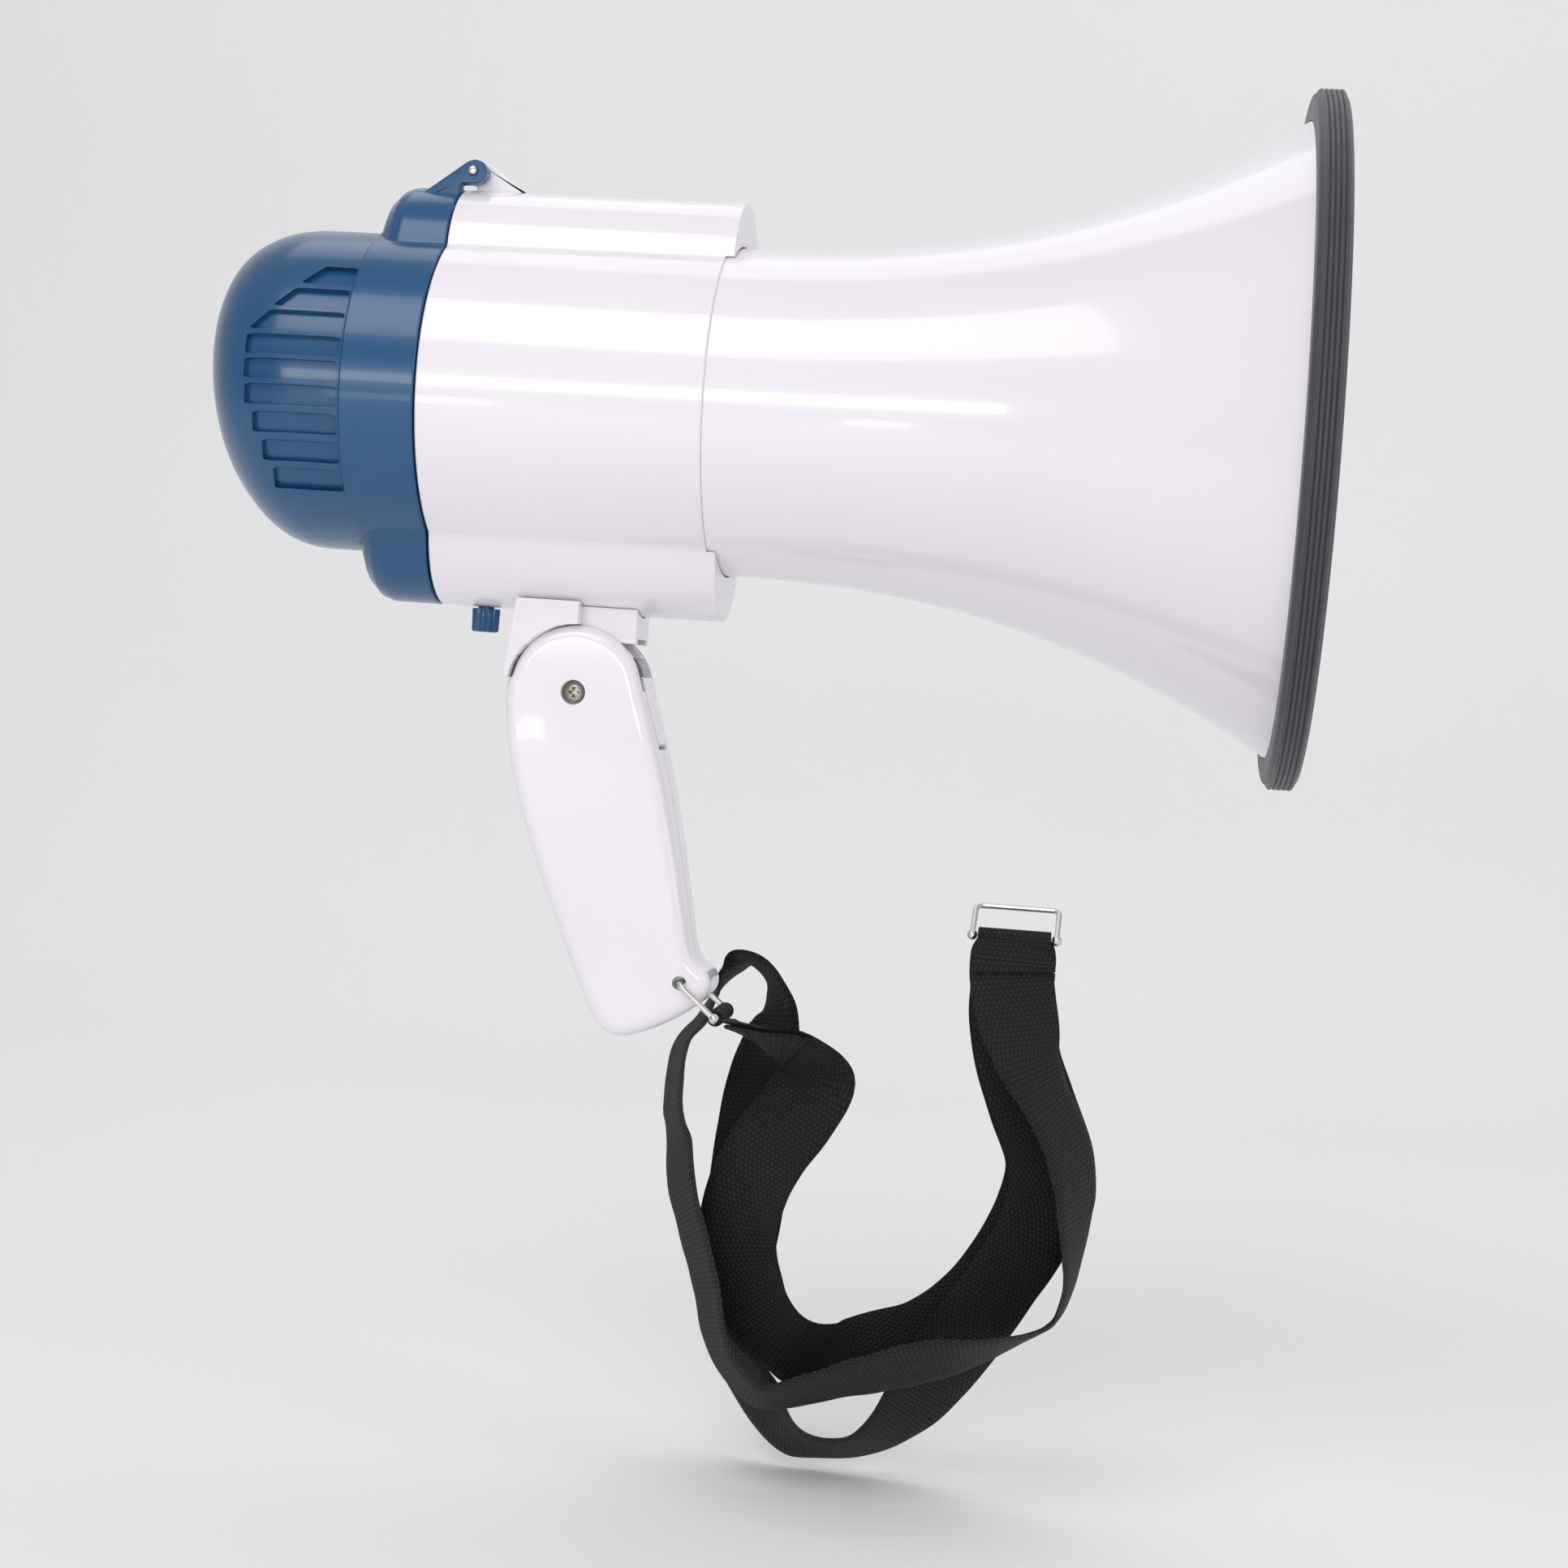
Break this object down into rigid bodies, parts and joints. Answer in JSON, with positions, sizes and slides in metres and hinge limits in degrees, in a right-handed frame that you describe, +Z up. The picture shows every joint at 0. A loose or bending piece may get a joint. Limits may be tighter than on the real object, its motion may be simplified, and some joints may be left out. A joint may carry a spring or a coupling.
{
  "type": "megaphone",
  "caption": "Handheld megaphone with a flared horn, rubber rim guard, hinged rear cap, folding trigger grip and a webbing wrist strap on wire bails.",
  "frame": {"origin": "centre of the grip, where the hand closes round it, on the middle plane", "axes": "+X forward along the horn's axis, out of the bell; +Z up from the grip to the horn; +Y to the left of someone who holds it and faces forward"},
  "size_m": [0.2614, 0.1606, 0.3313],
  "materials": {
    "white_shell": "moulded, glossy white",
    "blue_shell": "moulded, satin blue",
    "rim_rubber": "ribbed, dark grey",
    "dark_plastic": "moulded, matt black",
    "pin_steel": "plated",
    "foam_rubber": "soft, black",
    "cone_film": "thin film",
    "cell_sleeve": "printed sleeve without text",
    "board": "green circuit board",
    "webbing": "woven black nylon webbing"
  },
  "bodies": {
    "housing": {"horn_bell": "white_shell", "bell_rim_guard": "rim_rubber", "horn_reflector": "white_shell", "tone_tube": "dark_plastic", "driver_frame": "pin_steel", "driver_magnet": "dark_plastic", "driver_diaphragm": "cone_film", "body_housing": "white_shell", "cap_hinge_pin": "pin_steel", "battery_tray": "dark_plastic", "battery_cell_1": "cell_sleeve", "battery_cell_2": "cell_sleeve", "battery_cell_3": "cell_sleeve", "battery_cell_4": "cell_sleeve", "cell_contact_1": "pin_steel", "cell_contact_2": "pin_steel", "cell_contact_3": "pin_steel", "cell_contact_4": "pin_steel", "amplifier_board": "board", "volume_control": "dark_plastic", "handle_bracket": "white_shell", "bracket_screw_1": "pin_steel", "bracket_screw_2": "pin_steel"},
    "cap": {"rear_cap": "blue_shell", "microphone_capsule": "pin_steel", "microphone_holder": "foam_rubber"},
    "knob": {"volume_knob": "blue_shell"},
    "grip": {"grip_shell_near": "white_shell", "grip_shell_far": "white_shell", "pivot_bolt": "pin_steel", "pivot_nut": "pin_steel", "grip_screw_1": "pin_steel", "grip_screw_2": "pin_steel", "trigger_switch": "dark_plastic", "trigger_spring": "pin_steel"},
    "trigger": {"trigger": "white_shell"},
    "button": {"switch_button": "dark_plastic"},
    "strap": {"strap_bail": "pin_steel", "strap_pin": "pin_steel", "strap_webbing": "webbing", "end_pin": "pin_steel"},
    "end_bail": {"end_bail": "pin_steel"}
  },
  "joints": [
    {"name": "cap_open", "type": "hinge", "parent": "housing", "child": "cap", "pos_m": [-0.0384, 0, 0.158], "axis": [0, 1, 0], "range_deg": [0, 100]},
    {"name": "volume_turn", "type": "hinge", "parent": "housing", "child": "knob", "pos_m": [-0.0306, 0, 0.052], "axis": [0, 0, 1], "range_deg": [0, 270]},
    {"name": "handle_fold", "type": "hinge", "parent": "housing", "child": "grip", "pos_m": [-0.0057, 0, 0.0365], "axis": [0, -1, 0], "range_deg": [0, 40]},
    {"name": "trigger_pull", "type": "slide", "parent": "grip", "child": "trigger", "axis": [-0.957, 0, -0.29], "range_m": [0, 0.002], "stiffness_N_per_m": 400, "deforming": ["trigger_spring"]},
    {"name": "button_press", "type": "slide", "parent": "grip", "child": "button", "axis": [-1, 0, 0], "range_m": [0, 0.002]},
    {"name": "strap_swing", "type": "hinge", "parent": "grip", "child": "strap", "pos_m": [0.0235, 0, -0.0301], "axis": [0, 1, 0], "range_deg": [0, 45]},
    {"name": "end_bail_swing", "type": "hinge", "parent": "strap", "child": "end_bail", "pos_m": [0.101, -0.0015, -0.014], "axis": [1, 0, 0], "range_deg": [-40, 90]}
  ],
  "couplings": [
    {"joint": "button_press", "follows": "trigger_pull", "ratio": 0.957},
    {"joint": "strap_swing", "follows": "handle_fold", "ratio": 0.9}
  ]
}
